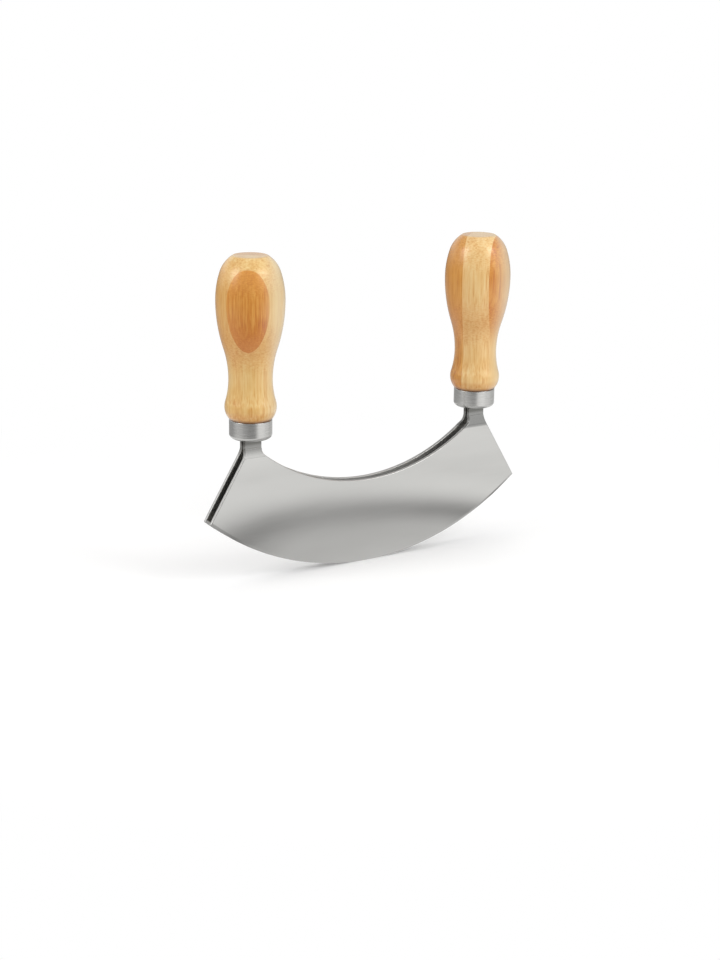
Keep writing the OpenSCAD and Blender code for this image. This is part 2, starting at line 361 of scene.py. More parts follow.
# Heights between which the surface gets oblique: at the crown, and above the waist, where it ends again
CROWN_START = TOP_Z - 20, TOP_Z - 9
LOWER_START, LOWER_END = (WAIST_Z + 2, WAIST_Z + 10), (WAIST_Z + 20, WAIST_Z + 30)
OBLIQUE_LOSS = -0.6          # what an oblique surface takes off the marks of upright ones

# Each ply takes its grain from another place of the noise, by its number
SEED_STEP_X, SEED_STEP_Z = 40, 13

LACQUER = {"Roughness": 0.5, "Coat Weight": 1.0, "Coat IOR": 1.65, "Coat Roughness": 0.25}


# Materials
def painted_neck_shade(tree, along, height, face):
    """The tone called face on the blades, and darker tones of painted shade on the necks,
    with a painted shadow below the ferrule.
    """
    slope = mix(tree, span(tree, along, *LEFT_TO_RIGHT), *SLOPE_SHADES)
    neck = mix(tree, span(tree, height, *SLOPE_TO_NECK), slope, NECK_SHADE)
    neck = mix(tree, span(tree, height, *NECK_TO_FERRULE), neck, UNDER_FERRULE_SHADOW)
    start = span(tree, along, *LEFT_TO_RIGHT, *NECK_START, "LINEAR")
    full = span(tree, along, *LEFT_TO_RIGHT, *NECK_FULL, "LINEAR")
    return mix(tree, span(tree, height, start, full), face, neck)


def inside_share(tree, place, along, depth):
    """1 on the inner faces along the hollow back, less below it and further right, and 0 outside."""
    inside = span(tree, maths(tree, "ABSOLUTE", depth), *INNER_FACES)
    from_back = vector_maths(tree, "DISTANCE", place, (0, 0, BACK_Z))
    inside = maths(tree, "MULTIPLY", inside, span(tree, from_back, *NEAR_BACK))
    return maths(tree, "MULTIPLY", inside, span(tree, along, *DULL_ALONG))


def blade_steel():
    """Satin steel, brushed along the blade. Painted shade makes it darker on the necks, with a painted shadow
    below the ferrule. It is duller on the cut edges of the sheet and inside along the hollow back."""
    material, tree, shader = new_material("blade_steel")
    place = stretched(tree, (1, 1, 1))
    along, depth, height = parts_of(tree, place)
    lines = noise(tree, stretched(tree, BLADE_BRUSHING), detail=3.0, roughness=0.6)
    broad = noise(tree, stretched(tree, BLADE_CLOUDS))
    tone = maths(tree, "ADD", spread(tree, lines, -0.1, 0.1), spread(tree, broad, -0.3, 0.3))
    face = mix(tree, maths(tree, "ADD", tone, 0.5), *FACE_TONES)
    facing_along_y = maths(tree, "ABSOLUTE", parts_of(tree, coordinates(tree, "Normal"))["Y"])
    cut_edge = span(tree, facing_along_y, *CUT_EDGES)
    inside = inside_share(tree, place, along, depth)
    rough = maths(tree, "ADD", span(tree, lines, *BRUSHED, *BLADE_ROUGH, "LINEAR"),
                  spread(tree, broad, *CLOUD_ROUGH))
    rough = maths(tree, "MULTIPLY_ADD", cut_edge, CUT_ROUGH, rough)
    feed(tree, shader, {
        "Base Color": mix(tree, cut_edge, painted_neck_shade(tree, along, height, face), CUT_SHADE, "MULTIPLY"),
        "Roughness": maths(tree, "MULTIPLY_ADD", inside, INSIDE_ROUGH, rough),
        "Metallic": maths(tree, "MULTIPLY_ADD", inside, INSIDE_METALLIC, 1.0),
        "Normal": bump(tree, lines, strength=0.04, depth=0.02),
    })
    return material


def ferrule_steel(side):
    """Satin steel, brushed round the axis."""
    material, tree, shader = new_material("ferrule_steel_" + side)
    place = stretched(tree, FERRULE_BRUSHING, (handle_x(side), 0, 0))
    lines = noise(tree, place, detail=3.0, roughness=0.6)
    shader.inputs["Metallic"].default_value = 1.0
    feed(tree, shader, {
        "Base Color": mix(tree, spread(tree, lines), *FERRULE_TONES),
        "Roughness": span(tree, lines, *BRUSHED, *FERRULE_ROUGH, "LINEAR"),
        "Normal": bump(tree, lines, strength=0.06, depth=0.02),
    })
    return material


def grain(tree, side, seed, height):
    """Tone of bamboo as a solid, about 0 to 1. Fibres and their bundles run up Z, so turning cuts them to
    streaks and dots."""
    own = dict(centre=(handle_x(side) + SEED_STEP_X * seed, 0, SEED_STEP_Z * seed), turn=PLY_TURN[side])
    lower = maths(tree, "MULTIPLY", span(tree, height, *LOWER_START),
                  span(tree, height, *LOWER_END, 1.0, 0.0))
    oblique = maths(tree, "MAXIMUM", span(tree, height, *CROWN_START), lower)
    upright = maths(tree, "MULTIPLY_ADD", oblique, OBLIQUE_LOSS, 1.0)
    shares = {"upright": upright, "oblique": oblique, "everywhere": 1.0}
    values = {"Vector": stretched(tree, BUNDLES, **own), "Scale": 1.0, "Randomness": BUNDLE_JITTER}
    bundles = add_node(tree, "ShaderNodeTexVoronoi", values, feature="F1").outputs["Distance"]
    tone = maths(tree, "MULTIPLY_ADD", span(tree, bundles, *BUNDLE_EDGE, "LINEAR"),
                 maths(tree, "MULTIPLY", upright, BUNDLE_WEIGHT), 0.5)
    for sizes, detail, roughness, weight, where in MARKS:
        marks = noise(tree, stretched(tree, sizes, **own), detail, roughness)
        share = maths(tree, "MULTIPLY", shares[where], weight)
        tone = maths(tree, "MULTIPLY_ADD", spread(tree, marks, -1, 1), share, tone)
    return tone


def bamboo(name, side, light, middle, dark, seed, fades):
    """Lacquered bamboo. Painted light makes it paler towards the lit side. Painted shade makes it deeper
    towards the other side, darker at its lower rim, and warmer where it faces down, as if lit by warm bounce
    light. Its top disc is paler. Each of fades is a tone that it takes on between two heights, and its share
    at each of them."""
    material, tree, shader = new_material(name)
    height = parts_of(tree, stretched(tree, (1, 1, 1)))["Z"]
    tone = grain(tree, side, seed, height)
    ramp = add_node(tree, "ShaderNodeValToRGB", {0: tone})
    stops = ramp.color_ramp.elements
    stops[0].position, stops[0].color = DARK_STOP, dark
    stops[1].position, stops[1].color = LIGHT_STOP, light
    stops.new(MIDDLE_STOP).color = middle
    wood = ramp.outputs[0]
    for fade, *heights_and_shares in fades:
        wood = mix(tree, span(tree, height, *heights_and_shares), wood, fade)

    # Sideways towards the lit side, which painted light makes paler
    offset = stretched(tree, (BELLY_R, BELLY_R, 1), (handle_x(side), 0, 0))
    sideways = vector_maths(tree, "DOT_PRODUCT", offset, LIT_SIDE)
    # Painted shade on the side away from the light, above the waist
    shaded_side = maths(tree, "MULTIPLY", span(tree, sideways, *SHADED_SIDEWAYS), span(tree, height, *SHADED_SIDE_HEIGHTS))
    # Painted shade with warm bounce light where the wood faces down
    facing_up = parts_of(tree, coordinates(tree, "Normal"))["Z"]
    for share, tint in ((shaded_side, SHADED_SIDE_TONE), (span(tree, facing_up, *FACING_DOWN), UNDERSIDE_SHADE),
                        (span(tree, sideways, *LIT_SIDEWAYS), PAINTED_LIGHT_TONE),
                        (span(tree, height, *TOP_DISC_HEIGHTS), TOP_DISC_TONE),
                        (span(tree, height, *RIM_HEIGHTS), RIM_SHADE)):
        wood = mix(tree, share, wood, tint)
    feed(tree, shader, {"Base Color": wood, "Normal": bump(tree, tone, strength=0.15, depth=0.03)})
    for key, value in LACQUER.items():
        shader.inputs[key].default_value = value
    return material


def resin():
    """Cloudy resin."""
    material, tree, shader = new_material("resin")
    clouds = noise(tree, stretched(tree, RESIN_CLOUDS), detail=3.0)
    feed(tree, shader, {"Base Color": mix(tree, clouds, *RESIN_TONES)})
    shader.inputs["Roughness"].default_value = RESIN_ROUGH
    return material


# Blades
def blade_outline():
    """The blade's outline, anticlockwise from the left tip: points, and for each whether the way on from it
    is ground."""
    end_angle = math.degrees(math.atan2(HALF_SPAN - NECK_OUT, HORN_Z - TIP_Z))
    reach = OUTER_BLEND * math.tan(math.radians(end_angle / 2))
    blend_c = (NECK_OUT + OUTER_BLEND, HORN_Z + reach)
    fillet_x, fillet_reach = NECK_IN - INNER_FILLET, BACK_RADIUS - INNER_FILLET
    fillet_c = (fillet_x, BACK_Z - math.sqrt(fillet_reach ** 2 - fillet_x ** 2))
    touch = bearing((0, BACK_Z), fillet_c)
    tip, tang_out, tang_in = (HALF_SPAN, TIP_Z), (NECK_OUT, TANG_Z), (NECK_IN, TANG_Z)
    blend = arc(blend_c, OUTER_BLEND, 180 + end_angle, 180, BLEND_STEPS)
    half_back = arc((0, BACK_Z), BACK_RADIUS, touch, -90, BACK_STEPS)
    right = (line(tip, blend[0], END_STEPS) + blend[:-1]
             + line(blend[-1], tang_out, TANG_STEPS) + line(tang_out, tang_in, TANG_END_STEPS)
             + line(tang_in, (NECK_IN, fillet_c[1]), TANG_STEPS)
             + arc(fillet_c, INNER_FILLET, 0, touch, BLEND_STEPS)[:-1] + half_back)
    opening = math.degrees(math.asin(HALF_SPAN / EDGE_RADIUS))
    edge = arc((0, EDGE_RADIUS), EDGE_RADIUS, -90 - opening, -90 + opening, EDGE_STEPS)[:-1]
    left = [(-x, z) for x, z in reversed(right[1:-1])]
    points = without_repeats(edge + right + left)
    return points, [i < len(edge) for i in range(len(points))]


def inset(points, i, before, after):
    """Point i moved inwards by before from the side that ends there and by after from the one that starts."""
    p, q, r = Vector(points[i - 1]), Vector(points[i]), Vector(points[(i + 1) % len(points)])
    n1 = Vector((p.y - q.y, q.x - p.x)).normalized()
    n2 = Vector((q.y - r.y, r.x - q.x)).normalized()
    cross = n1.x * n2.y - n1.y * n2.x
    nearly_straight = 0.02
    if abs(cross) < nearly_straight:
        middle = (n1 + n2).normalized()
        return q + middle * (before + after) / 2 / middle.dot(n1)
    return q + Vector((before * n2.y - after * n1.y, after * n1.x - before * n2.x)) / cross


def edge_section(k, is_ground):
    """Step k of a sheet's edge: how far it lies inwards of the outline and off the middle of the sheet."""
    half = SHEET / 2
    if is_ground:
        return BEVEL_HEIGHT * (1 - k / ARRIS_STEPS), half - (half - EDGE_FLAT / 2) * k / ARRIS_STEPS
    a = math.pi / 2 * k / ARRIS_STEPS
    return ARRIS * (1 - math.sin(a)), half - ARRIS * (1 - math.cos(a))


def flat_blade():
    """A blade before its necks are bent, with its middle at Y 0."""
    points, ground = blade_outline()
    count = len(points)
    steps = range(ARRIS_STEPS + 1)
    bm = bmesh.new()
    loops = []
    for face, k in [(1, k) for k in steps] + [(-1, k) for k in reversed(steps)]:
        ring = []
        for i in range(count):
            before, h1 = edge_section(k, ground[i - 1])
            after, h2 = edge_section(k, ground[i])
            x, z = inset(points, i, before, after)
            ring.append(bm.verts.new((x, face * (h1 + h2) / 2, z)))
        loops.append(ring)
    for a, b in zip(loops, loops[1:]):
        for i in range(count):
            j = (i + 1) % count
            bm.faces.new((a[i], a[j], b[j], b[i]))
    bm.faces.new(loops[0])
    bm.faces.new(loops[-1])
    return bm


def sheet_path():
    """Heights, and there the middle of the rear sheet and the angle it leans at, from blade to tang."""
    sheet_y, tang_y = BLADE_GAP / 2 + SHEET / 2, NECK_GAP / 2 + SHEET / 2
    lean = math.atan2(sheet_y - tang_y, JOGGLE_HEIGHT)
    bend = BEND_RADIUS + SHEET / 2
    reach = bend * math.tan(lean / 2)
    turns = [lean * i / BEND_STEPS for i in range(BEND_STEPS + 1)]
    low = [(BEND_Z - reach + bend * math.sin(a), sheet_y - bend * (1 - math.cos(a)), a) for a in turns]
    top = BEND_Z + JOGGLE_HEIGHT - reach * math.cos(lean) + bend * math.sin(lean)
    side = tang_y + reach * math.sin(lean) + bend * math.cos(lean)
    high = [(top - bend * math.sin(a), side - bend * math.cos(a), a) for a in reversed(turns)]
    return low + high


def sheet_at(path, z):
    """Middle and lean of the sheet at height z."""
    if z <= path[0][0]:
        return path[0][1:]
    if z >= path[-1][0]:
        return path[-1][1:]
    k = next(k for k in range(1, len(path)) if z <= path[k][0] + NO_LENGTH)
    (z0, y0, a0), (z1, y1, a1) = path[k - 1], path[k]
    t = (z - z0) / (z1 - z0)
    return y0 + (y1 - y0) * t, a0 + (a1 - a0) * t


def blade(name, side, material):
    """A blade with rolled arrises, a ground edge and necks that step inwards. side is -1 for the front."""
    bm = flat_blade()
    path = sheet_path()
    for z, _, _ in path:
        bmesh.ops.bisect_plane(bm, geom=whole(bm), dist=CUT_SLACK, plane_co=(0, 0, z), plane_no=(0, 0, 1))
    for v in bm.verts:
        middle, lean = sheet_at(path, v.co.z)
        v.co.y = side * (middle + v.co.y / math.cos(lean))
    weigh_normals(new_piece(name, bm, material), BLADE_CREASE)


# Turned pieces
def lathe(profile, segments, axis):
    """A closed solid of revolution. profile is a closed run of radii and heights, 0 being on the axis."""
    turns = [2 * math.pi * i / segments for i in range(segments)]
    bm = bmesh.new()
    rings = []
    for r, z in profile:
        if r < NO_LENGTH:
            rings.append([bm.verts.new((axis[0], axis[1], z))])
        else:
            rings.append([bm.verts.new((axis[0] + r * math.cos(a), axis[1] + r * math.sin(a), z))
                          for a in turns])
    for a, b in zip(rings, rings[1:] + rings[:1]):
        if len(a) == len(b) == 1:
            continue
        for i in range(segments):
            j = (i + 1) % segments
            if len(b) == 1:
                corners = (a[i], a[j], b[0])
            elif len(a) == 1:
                corners = (a[0], b[j], b[i])
            else:
                corners = (a[i], a[j], b[j], b[i])
            bm.faces.new(corners)
    return bm


def waist_centre(c, r):
    """Centre of the arc that is upright at the waist and touches the one round c of radius r."""
    k, dz = WAIST_R - c[0], c[1] - WAIST_Z
    return (WAIST_R + (k * k + dz * dz - r * r) / (2 * (r - k)), WAIST_Z)


def meet(a, ra, b, rb):
    """Where the circle of radius ra round a meets the one of radius rb round b, to the right of the way from
    b to a."""
    d = (a[0] - b[0], a[1] - b[1])
    s = math.hypot(*d)
    along = (s * s + rb * rb - ra * ra) / (2 * s)
    across = math.sqrt(rb * rb - along * along)
    u = (d[0] / s, d[1] / s)
    return (b[0] + along * u[0] + across * u[1], b[1] + along * u[1] - across * u[0])


def handle_profile():
    """Outside of a handle from its lower rim to the middle of its top, as arcs that run into each other."""
    belly_z = TOP_Z - BELLY_DROP
    bead_c = (BEAD_R - BEAD_CURVE, WOOD_Z + BEAD_HEIGHT)
    belly_c, crown_c = (BELLY_R - BELLY_CURVE, belly_z), (BELLY_R - CROWN_CURVE, belly_z)
    low_c, high_c = waist_centre(bead_c, BEAD_CURVE), waist_centre(belly_c, BELLY_CURVE)
    rim = (TOP_R, TOP_Z)
    shoulder_c = meet(rim, SHOULDER_CURVE, crown_c, CROWN_CURVE - SHOULDER_CURVE)
    start = math.degrees(-math.asin(BEAD_HEIGHT / BEAD_CURVE))
    to_low, to_belly = bearing(bead_c, low_c), bearing(high_c, belly_c)
    to_crown = bearing(crown_c, shoulder_c)
    first = arc(bead_c, BEAD_CURVE, start, start, 1)[0]
    lip = arc((first[0] - RIM, first[1] + RIM), RIM, LIP_START, LIP_END, RIM_STEPS)
    top = [(TOP_R * k / TOP_STEPS, TOP_Z) for k in reversed(range(TOP_STEPS))]
    return without_repeats(
        lip + arc(bead_c, BEAD_CURVE, start + LIP_SHARE, to_low, BEAD_STEPS)
        + arc(low_c, low_c[0] - WAIST_R, 180 + to_low, 180, LOW_STEPS)
        + arc(high_c, high_c[0] - WAIST_R, 180, to_belly, HIGH_STEPS)
        + arc(belly_c, BELLY_CURVE, to_belly - 180, 0, BELLY_STEPS)
        + arc(crown_c, CROWN_CURVE, 0, to_crown, CROWN_STEPS)
        + arc(shoulder_c, SHOULDER_CURVE, to_crown, bearing(shoulder_c, rim), SHOULDER_STEPS) + top)


def read_numbers(items, name):
    """A whole number of each item."""
    values = np.empty(len(items), np.int32)
    items.foreach_get(name, values)
    return values


def read_vectors(items, name):
    """A vector of each item."""
    values = np.empty(len(items) * 3, np.float64)
    items.foreach_get(name, values)
    return values.reshape(-1, 3)


def shade_turned(obj, axis, outside):
    """Gives the turned surface the normals of its profile, so the cuts between plies leave no mark in the
    gloss."""
    # How far a turned face may lie off the profile, and how far it has to look outwards and lie below the top
    off_profile, least_outwards, below_top = 0.08, 0.02, 0.01
    mesh = obj.data
    radii, heights = np.array(outside).T
    steps = np.diff(np.array(outside), axis=0)
    rising = steps[:, 1] > NO_LENGTH
    middles = (heights[:-1] + heights[1:])[rising] / 2
    lean = np.arctan2(-steps[:, 0], steps[:, 1])[rising]

    flat = read_vectors(mesh.polygons, "normal")
    middle = read_vectors(mesh.polygons, "center") / MM - [*axis, 0]
    reach = np.hypot(middle[:, 0], middle[:, 1])
    turned = np.abs(reach - np.interp(middle[:, 2], heights, radii)) < off_profile
    turned &= (middle[:, 2] > WOOD_Z) & (middle[:, 2] < TOP_Z - below_top)
    turned &= (flat[:, :2] * middle[:, :2]).sum(1) > least_outwards * reach

    points = read_vectors(mesh.vertices, "co") / MM - [*axis, 0]
    here = points[read_numbers(mesh.loops, "vertex_index")]
    r = np.hypot(here[:, 0], here[:, 1])
    angle = np.interp(here[:, 2], middles, lean)
    round_normals = np.stack((here[:, 0] / r * np.cos(angle), here[:, 1] / r * np.cos(angle),
                              np.sin(angle)), 1)
    counts = read_numbers(mesh.polygons, "loop_total")
    normals, use = np.repeat(flat, counts, axis=0), np.repeat(turned, counts)
    normals[use] = round_normals[use]
    mesh.polygons.foreach_set("use_smooth", [True] * len(mesh.polygons))
    mesh.normals_split_custom_set(normals.tolist())


def cut(bm, at, keep):
    """Cuts with the plane through at and closes the cut. keep is the direction of what stays."""
    done = bmesh.ops.bisect_plane(bm, geom=whole(bm), dist=CUT_SLACK, plane_co=at, plane_no=-keep,
                                  clear_outer=True)
    edges = [e for e in done["geom_cut"] if isinstance(e, bmesh.types.BMEdge)]
    bmesh.ops.triangle_fill(bm, edges=edges, use_beauty=True)


def join_at_waist(lower, upper):
    """Adds upper, which it frees, to lower and takes the faces between them out."""
    spare = bpy.data.meshes.new("spare")
    upper.to_mesh(spare)
    upper.free()
    lower.from_mesh(spare)
    bpy.data.meshes.remove(spare)
    level = [f for f in lower.faces if all(abs(v.co.z - WAIST_Z) < PICK_SLACK for v in f.verts)]
    bmesh.ops.delete(lower, geom=level, context="FACES_ONLY")
    bmesh.ops.remove_doubles(lower, verts=lower.verts, dist=MERGE_SLACK)


def ply(name, side, material, slot, low=None, high=None, foot="same"):
    """One bamboo ply of a turned handle, from low to high across the glue lines. Its foot, below the waist,
    is the same, or takes the whole half of the handle, or isn't there. A ply with such a wide foot has only
    one of low and high, and the glue line through the axis on its other side."""
    outside = handle_profile()
    inside = [(0, BORE_Z), (BORE_R, BORE_Z), (BORE_R, SPIGOT_Z), (SPIGOT_R, SPIGOT_Z), (SPIGOT_R, WOOD_Z)]
    axis = (handle_x(side), 0.0)
    bm = lathe(inside + outside, HANDLE_SEGMENTS, axis)
    bmesh.ops.recalc_face_normals(bm, faces=bm.faces)
    middle = Vector((*axis, 0))
    across = Vector((math.cos(PLY_TURN[side]), math.sin(PLY_TURN[side]), 0))
    up = Vector((0, 0, 1))
    waist = up * WAIST_Z

    if foot == "wide":
        reach, outwards = (high, across) if low is None else (low, -across)
        cut(bm, middle, outwards)
        lower, upper = bm.copy(), bm
        cut(upper, waist, up)
        cut(upper, middle + across * reach, -outwards)
        cut(lower, waist, -up)
        join_at_waist(lower, upper)
        bm = lower
    else:
        if foot == "none":
            cut(bm, waist, up)
        if low is not None:
            cut(bm, middle + across * low, across)
        if high is not None:
            cut(bm, middle + across * high, -across)
    shade_turned(new_piece(name, bm, material), axis, outside)


def cup_outline():
    """Closed outline of a ferrule without the flat middle of its floor."""
    top = FERRULE_Z + FERRULE_HEIGHT
    round_c = (FERRULE_R - FERRULE_ROUND, FERRULE_Z + FERRULE_ROUND)
    return without_repeats(
        [(SLOT_RING, FERRULE_Z)] + arc(round_c, FERRULE_ROUND, -90, 0, CUP_STEPS)
        + arc((FERRULE_R - RIM, top - RIM), RIM, 0, 90, RIM_STEPS) + [(FERRULE_R - FERRULE_WALL, top)]
        + arc(round_c, FERRULE_ROUND - FERRULE_WALL, 0, -90, HOLLOW_STEPS)
        + [(SLOT_RING, FERRULE_Z + FERRULE_WALL)])


def slot_outline(middle_x):
    """Points round the slot for the two necks."""
    half_x = NECK_WIDTH / 2 + SLOT_CLEARANCE - SLOT_CORNER
    half_y = NECK_GAP / 2 + SHEET + SLOT_CLEARANCE - SLOT_CORNER
    points = []
    for sx, sy, start in ((1, 1, 0), (-1, 1, 90), (-1, -1, 180), (1, -1, 270)):
        corner = (middle_x + sx * half_x, sy * half_y)
        points += arc(corner, SLOT_CORNER, start, start + 90, CORNER_STEPS)
    return points


def ferrule(name, side, material):
    """A drawn cup with a slot in its floor for the two necks."""
    axis = (handle_x(side), 0.0)

    def on_ring(v, slack):
        """Whether v lies where the turned part ends."""
        return abs(math.hypot(v.co.x - axis[0], v.co.y) - SLOT_RING) < slack

    bm = lathe(cup_outline(), FERRULE_SEGMENTS, axis)
    ring = [f for f in bm.faces if all(on_ring(v, PICK_SLACK) for v in f.verts)]
    bmesh.ops.delete(bm, geom=ring, context="FACES_ONLY")
    slot = slot_outline(axis[0])
    rims = []
    for z in (FERRULE_Z, FERRULE_Z + FERRULE_WALL):
        rim = [bm.verts.new((x, y, z)) for x, y in slot]
        edges = [bm.edges.new((rim[i - 1], rim[i])) for i in range(len(rim))]
        edges += [e for e in bm.edges if e.is_boundary
                  and all(abs(v.co.z - z) < PICK_SLACK and on_ring(v, MERGE_SLACK) for v in e.verts)]
        bmesh.ops.triangle_fill(bm, edges=edges, use_beauty=True)
        rims.append(rim)
    for i in range(len(slot)):
        bm.faces.new((rims[0][i - 1], rims[0][i], rims[1][i], rims[1][i - 1]))
    weigh_normals(new_piece(name, bm, material), FERRULE_CREASE)


# The object
steel = blade_steel()
blade("front_blade", -1, steel)
blade("rear_blade", 1, steel)

plug = resin()
for side in SIDES:
    ferrule(side + "_ferrule", side, ferrule_steel(side))
    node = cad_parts[side + "_resin_plug"]
    node.data.materials.clear()
    node.data.materials.append(plug)

PLIES = (
    ("left_handle_front_cap", RED, "dark_ply", dict(low=CAP_PLANE, foot="none")),
    ("left_handle_front_ply", HONEY, "light_ply", dict(high=CAP_PLANE, foot="wide")),
    ("left_handle_rear_ply", AMBER, "amber_ply", dict(low=-CAP_PLANE, foot="wide")),
    ("left_handle_rear_cap", RED, "dark_ply", dict(high=-CAP_PLANE, foot="none")),
    ("right_handle_front_ply", RED, "dark_ply", dict(low=FRONT_REACH)),
    ("right_handle_middle_ply", BRIGHT_HONEY, "light_ply", dict(low=REAR_REACH, high=FRONT_REACH)),
    ("right_handle_rear_ply", AMBER, "amber_ply", dict(high=REAR_REACH)),
)
FADES = {
    "left_handle_front_cap": (
        # Painted shade: the cap's foot turns darker orange low down
        (CAP_FOOT_SHADE, WAIST_Z + 22, WAIST_Z + 36, 0.4, 0.0),
        (CAP_HEAD, TOP_Z - 18, TOP_Z - 9, 0.0, 0.4),
    ),
    "right_handle_front_ply": ((HONEY[0], WAIST_Z, WAIST_Z + 22, 0.75, 0.0),),
}
for number, (name, tones, slot, limits) in enumerate(PLIES):
    side = name.split("_")[0]
    wood = bamboo(name + "_bamboo", side, *tones, number, FADES.get(name, ()))
    ply(name, side, wood, slot, **limits)

# Camera, fitted to the photograph. FOCAL and LONG_SIDE are in its pixels
YAW, PITCH, ROLL = math.radians(32.3961), math.radians(16.4146), math.radians(0.8221)
CAMERA_AT = Vector((-491.344, -769.58, 309.358)) * MM
FOCAL, LONG_SIDE, SENSOR = 1930, 960, 36
NEAREST, FARTHEST = 0.01, 100
TOWARDS_CAMERA = Vector((-math.sin(YAW), -math.cos(YAW), 0))
TO_THE_RIGHT = Vector((math.cos(YAW), -math.sin(YAW), 0))


def add_camera():
    """The camera, rolled about the way it looks."""
    ahead = Vector((math.sin(YAW) * math.cos(PITCH), math.cos(YAW) * math.cos(PITCH), -math.sin(PITCH)))
    level, below = TO_THE_RIGHT, ahead.cross(TO_THE_RIGHT)
    right = math.cos(ROLL) * level - math.sin(ROLL) * below
    down = math.sin(ROLL) * level + math.cos(ROLL) * below
    data = bpy.data.cameras.new("camera")
    data.sensor_width = SENSOR
    data.lens = FOCAL * SENSOR / LONG_SIDE
    data.clip_start, data.clip_end = NEAREST, FARTHEST
    camera = add_object("camera", data)
    turn = Matrix((right, -down, -ahead)).transposed().to_4x4()
    camera.matrix_world = Matrix.Translation(CAMERA_AT) @ turn
    bpy.context.scene.camera = camera


# Floor. Bearings are in degrees to the right of the camera's side of the object
FLOOR_RADIUS = 6.0
FLOOR_SEEN, FLOOR_BOUNCE = grey(0.9), (0.66, 0.54, 0.38, 1)
FLOOR_LIFT = 0.12
SHADOW_FADE = 0.12, 0.32

# What the floor shows to gloss: grey levels by the distance in millimetres from the middle of a dark ring,
# and further out by bearing
RING_CENTRE = (15.5 * MM, 14 * MM, 0)
RING_LEVELS = (
    (0, 0.72), (64, 0.66), (78, 0.54), (93, 0.31), (104, 0.44),
    (120, 0.84), (136, 1.0), (150, 0.95), (168, 0.84), (210, 0.9),
)
RAMP_LENGTH = 250          # the distance in millimetres at which the ramp of the ring ends
FAR_LEVELS = (
    (-180, 0.5), (-150, 0.35), (-104, 0.35), (-65, 0.62), (-50, 0.57), (-31, 0.4), (-5, 0.26),
    (14, 0.28), (37, 1.0), (60, 1.0), (82, 0.8), (130, 0.56), (180, 0.5),
)
FAR_GAIN = grey(1.18)
RING_TO_FAR = 0.2, 0.235
FAR_FALL = 0.4, 1.1, 1.0, 0.4

# What the world shows to gloss: grey levels low down by bearing, one level higher up, and two soft windows by
# their left and right bearing and their lower and upper elevation. Heights are sines of elevations
LOW_LEVELS = (
    (-180, 0.45), (-150, 0.55), (-118, 0.58), (-85, 0.38), (-60, 0.3), (-20, 0.19),
    (20, 0.2), (55, 0.5), (85, 0.5), (120, 0.3), (150, 0.35), (180, 0.45),
)
LOW_GAIN, HIGH_LEVEL = grey(1.7), grey(0.42)
LOW_TO_HIGH = 0.33, 0.6
DARK_HORIZON = 0.04, 0.2, 0.5, 1.0
WINDOWS = ((38, 74, 26, 46), (-80, -50, 18, 42))
WINDOW_STRENGTH, WINDOW_SOFT = 3.6, 11
AMBIENT = 0.66          # what the world gives to rays that are neither gloss nor the camera's

# Lamps: bearing, elevation, distance, width, height and power in watts
LAMPS_AIM_AT = Vector((0, 0, 80)) * MM
LAMPS = {
    "key": (68, 28, 0.9, 0.4, 0.8, 3.1),
    "fill": (-58, 42, 0.9, 0.4, 0.5, 2.3),
    "top": (150, 75, 1.0, 0.7, 0.7, 1.1),
}


# Stage and light
def compass(tree, direction):
    """The bearing of a direction, as 0 to 1 for -180 to 180 degrees."""
    ahead = vector_maths(tree, "DOT_PRODUCT", direction, TOWARDS_CAMERA)
    aside = vector_maths(tree, "DOT_PRODUCT", direction, TO_THE_RIGHT)
    return maths(tree, "MULTIPLY_ADD", maths(tree, "ARCTAN2", aside, ahead), 1 / (2 * math.pi), 0.5)


def curve(tree, value, stops):
    """A smooth curve of grey levels through stops of (place, level)."""
    ramp = add_node(tree, "ShaderNodeValToRGB", {0: value})
    ramp.color_ramp.interpolation = "EASE"
    elements = ramp.color_ramp.elements
    for element, (place, level) in zip((elements[0], elements[1]), (stops[0], stops[-1])):
        element.position, element.color = place, grey(level)
    for place, level in stops[1:-1]:
        elements.new(place).color = grey(level)
    return ramp.outputs[0]


def around(tree, direction, levels):
    """Grey levels by bearing."""
    stops = [((degrees + 180) / 360, level) for degrees, level in levels]
    return curve(tree, compass(tree, direction), stops)


def emission(tree, strength, tone=(1, 1, 1, 1)):
    """The output of a shader that glows."""
    return add_node(tree, "ShaderNodeEmission", {"Color": tone, "Strength": strength}).outputs[0]


def mixed_shader(tree, factor, a, b):
    """a where factor is 0, b where it is 1."""
    return add_node(tree, "ShaderNodeMixShader", {0: factor, 1: a, 2: b}).outputs[0]


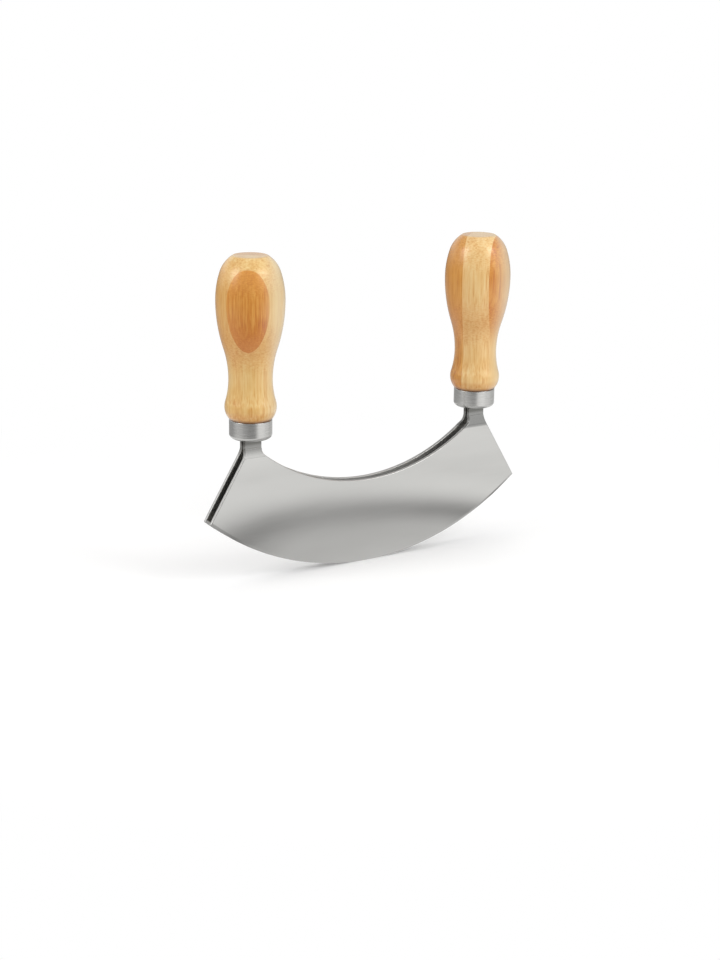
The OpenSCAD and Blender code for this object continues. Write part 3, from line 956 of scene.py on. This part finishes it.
def floor_material():
    """White for the camera, with the shadow kept, and warm for the light that it throws up. Gloss sees a dark
    ring round the middle, and far out dark and bright sectors."""
    material, tree = empty_material("floor")
    rays = add_node(tree, "ShaderNodeLightPath").outputs
    place = coordinates(tree)
    away = vector_maths(tree, "DISTANCE", place, (0, 0, 0))
    from_ring = vector_maths(tree, "DISTANCE", place, RING_CENTRE)
    near = curve(tree, maths(tree, "MULTIPLY", from_ring, 1 / (RAMP_LENGTH * MM)),
                 [(distance / RAMP_LENGTH, level) for distance, level in RING_LEVELS])
    far = mix(tree, 1.0, around(tree, place, FAR_LEVELS), FAR_GAIN, "MULTIPLY")
    pattern = mix(tree, span(tree, away, *RING_TO_FAR), near, far)
    mirrored = emission(tree, span(tree, away, *FAR_FALL), pattern)

    tone = mix(tree, rays["Is Camera Ray"], FLOOR_BOUNCE, FLOOR_SEEN)
    lit = add_node(tree, "ShaderNodeBsdfDiffuse", {"Color": tone}).outputs[0]
    lift = emission(tree, maths(tree, "MULTIPLY", rays["Is Camera Ray"], FLOOR_LIFT))
    bright = add_node(tree, "ShaderNodeAddShader", {0: lit, 1: lift}).outputs[0]
    faded = maths(tree, "MULTIPLY", span(tree, away, *SHADOW_FADE), rays["Is Camera Ray"])
    seen = mixed_shader(tree, faded, bright, emission(tree, 1.0))
    both = mixed_shader(tree, rays["Is Glossy Ray"], seen, mirrored)
    add_node(tree, "ShaderNodeOutputMaterial", {0: both})
    return material


def add_floor():
    """A round floor, wide enough to fill the view."""
    bm = bmesh.new()
    bmesh.ops.create_circle(bm, cap_ends=True, segments=FLOOR_SEGMENTS, radius=FLOOR_RADIUS)
    obj = add_mesh("floor", bm, floor_material())


def window(tree, direction, height, left, right, bottom, top):
    """A soft window between two bearings and two elevations in degrees."""
    soft = WINDOW_SOFT
    wide = around(tree, direction, ((-180, 0), (left - soft, 0), (left + soft, 1), (right - soft, 1),
                                    (right + soft, 0), (180, 0)))
    elevations = (bottom - soft, bottom + soft, top - soft, top + soft)
    b0, b1, t0, t1 = (math.sin(math.radians(e)) for e in elevations)
    tall = maths(tree, "MULTIPLY", span(tree, height, b0, b1), span(tree, height, t0, t1, 1.0, 0.0))
    return maths(tree, "MULTIPLY", maths(tree, "MULTIPLY", wide, tall), WINDOW_STRENGTH)


def add_world():
    """White for the camera, soft grey light for the rest, and for gloss a studio with two soft windows."""
    world = bpy.data.worlds.new("studio")
    bpy.context.scene.world = world
    world.use_nodes = True
    tree = world.node_tree
    tree.nodes.clear()
    rays = add_node(tree, "ShaderNodeLightPath").outputs
    direction = coordinates(tree, "Generated")
    height = parts_of(tree, direction)["Z"]
    low = mix(tree, 1.0, around(tree, direction, LOW_LEVELS), LOW_GAIN, "MULTIPLY")
    level = mix(tree, span(tree, height, *LOW_TO_HIGH), low, HIGH_LEVEL)
    level = mix(tree, 1.0, level, span(tree, height, *DARK_HORIZON), "MULTIPLY")
    glow = maths(tree, "ADD", *(window(tree, direction, height, *limits) for limits in WINDOWS))
    mirrored = maths(tree, "MULTIPLY", rays["Is Glossy Ray"], maths(tree, "ADD", level, glow))
    others = maths(tree, "MULTIPLY", maths(tree, "SUBTRACT", 1.0, rays["Is Glossy Ray"]), AMBIENT)
    strength = maths(tree, "MAXIMUM", maths(tree, "ADD", mirrored, others), rays["Is Camera Ray"])
    background = add_node(tree, "ShaderNodeBackground", {"Color": grey(1), "Strength": strength})
    add_node(tree, "ShaderNodeOutputWorld", {0: background.outputs[0]})


def add_lamp(name, azimuth, elevation, distance, width, height, power):
    """A soft light aimed at the object. The windows of the world stand in for it in gloss."""
    a, e = math.radians(azimuth), math.radians(elevation)
    level = TOWARDS_CAMERA * math.cos(a) + TO_THE_RIGHT * math.sin(a)
    out = level * math.cos(e) + Vector((0, 0, math.sin(e)))
    light = bpy.data.lights.new(name, "AREA")
    light.shape = "RECTANGLE"
    light.size, light.size_y, light.energy = width, height, power
    obj = add_object(name, light)
    obj.location = LAMPS_AIM_AT + out * distance
    obj.rotation_euler = out.to_track_quat("Z", "Y").to_euler()
    obj.visible_glossy = False


add_camera()
add_floor()
add_world()
for name, values in LAMPS.items():
    add_lamp(name, *values)

bpy.context.scene.view_settings.view_transform = "Standard"
